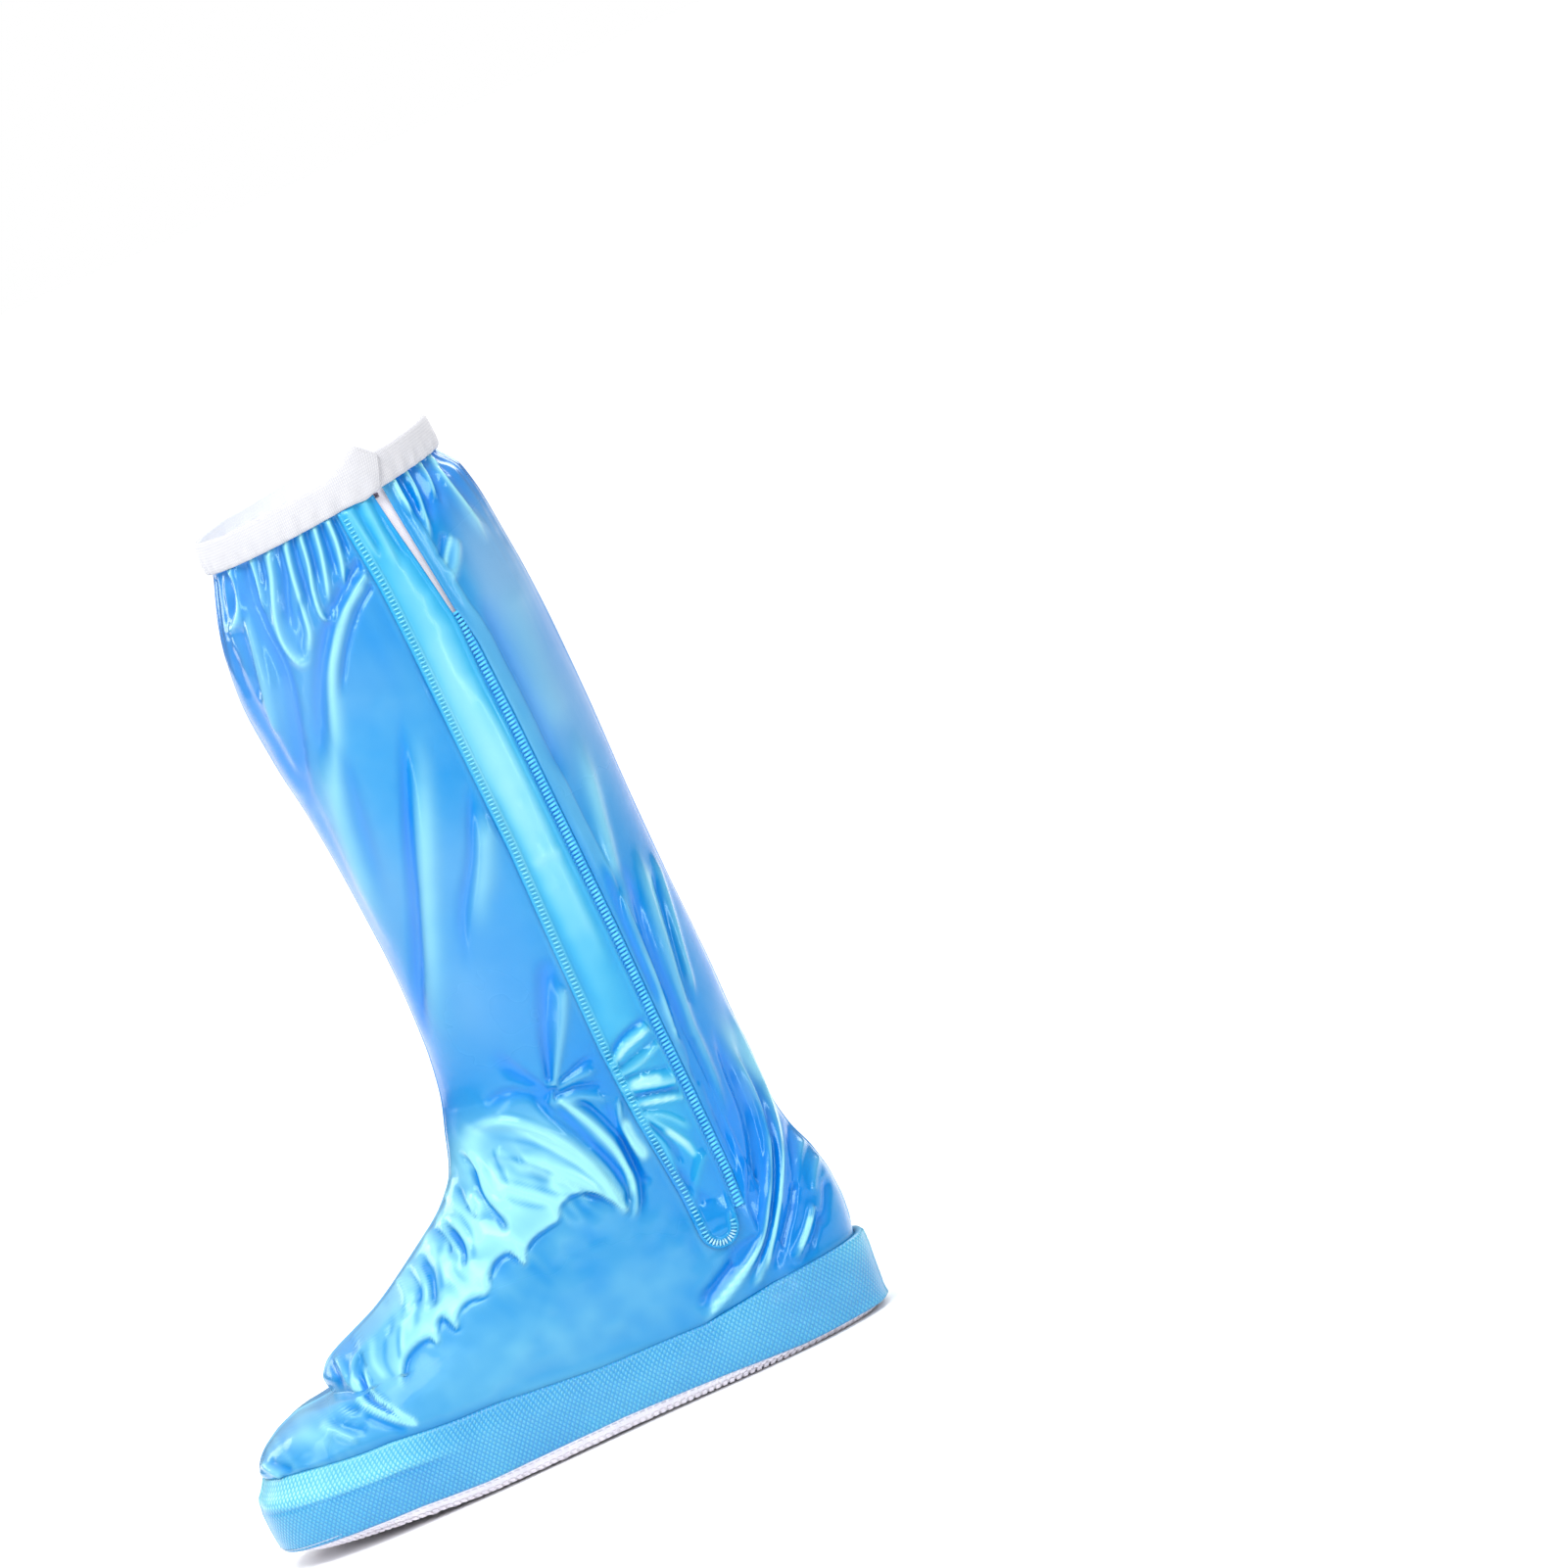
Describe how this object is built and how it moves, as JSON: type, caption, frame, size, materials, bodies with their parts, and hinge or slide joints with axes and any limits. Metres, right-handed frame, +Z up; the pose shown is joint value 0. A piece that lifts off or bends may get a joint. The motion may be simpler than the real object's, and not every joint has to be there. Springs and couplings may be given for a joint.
{
  "type": "shoe cover",
  "caption": "Tall waterproof film cover pulled over a shoe and the lower leg, with a side zip, a rubbery sole and an elastic top band.",
  "frame": {"origin": "on the floor under the middle of the cover's bounding box", "axes": "+Z up along the leg, -X towards the toe, -Y towards the side with the zip"},
  "size_m": [0.295, 0.115, 0.451],
  "materials": {
    "film": "glossy, pearly, slightly see-through blue vinyl film with soft folds",
    "welt_film": "satin blue vinyl embossed with a fine diamond mesh",
    "elastic": "white woven elastic with fine cross ribs",
    "zip_tape": "white woven zip tape",
    "zip_teeth": "blue nylon coil",
    "zip_stop": "small dull metal stop",
    "sole": "white soft vinyl with small square tread blocks"
  },
  "bodies": {
    "root": {"upper_film": "film", "top_band": "elastic", "zip_flap": "film", "zip_tape": "zip_tape", "zip_chain": "zip_teeth", "zip_stop": "zip_stop", "welt": "welt_film", "outsole": "sole"}
  },
  "joints": []
}
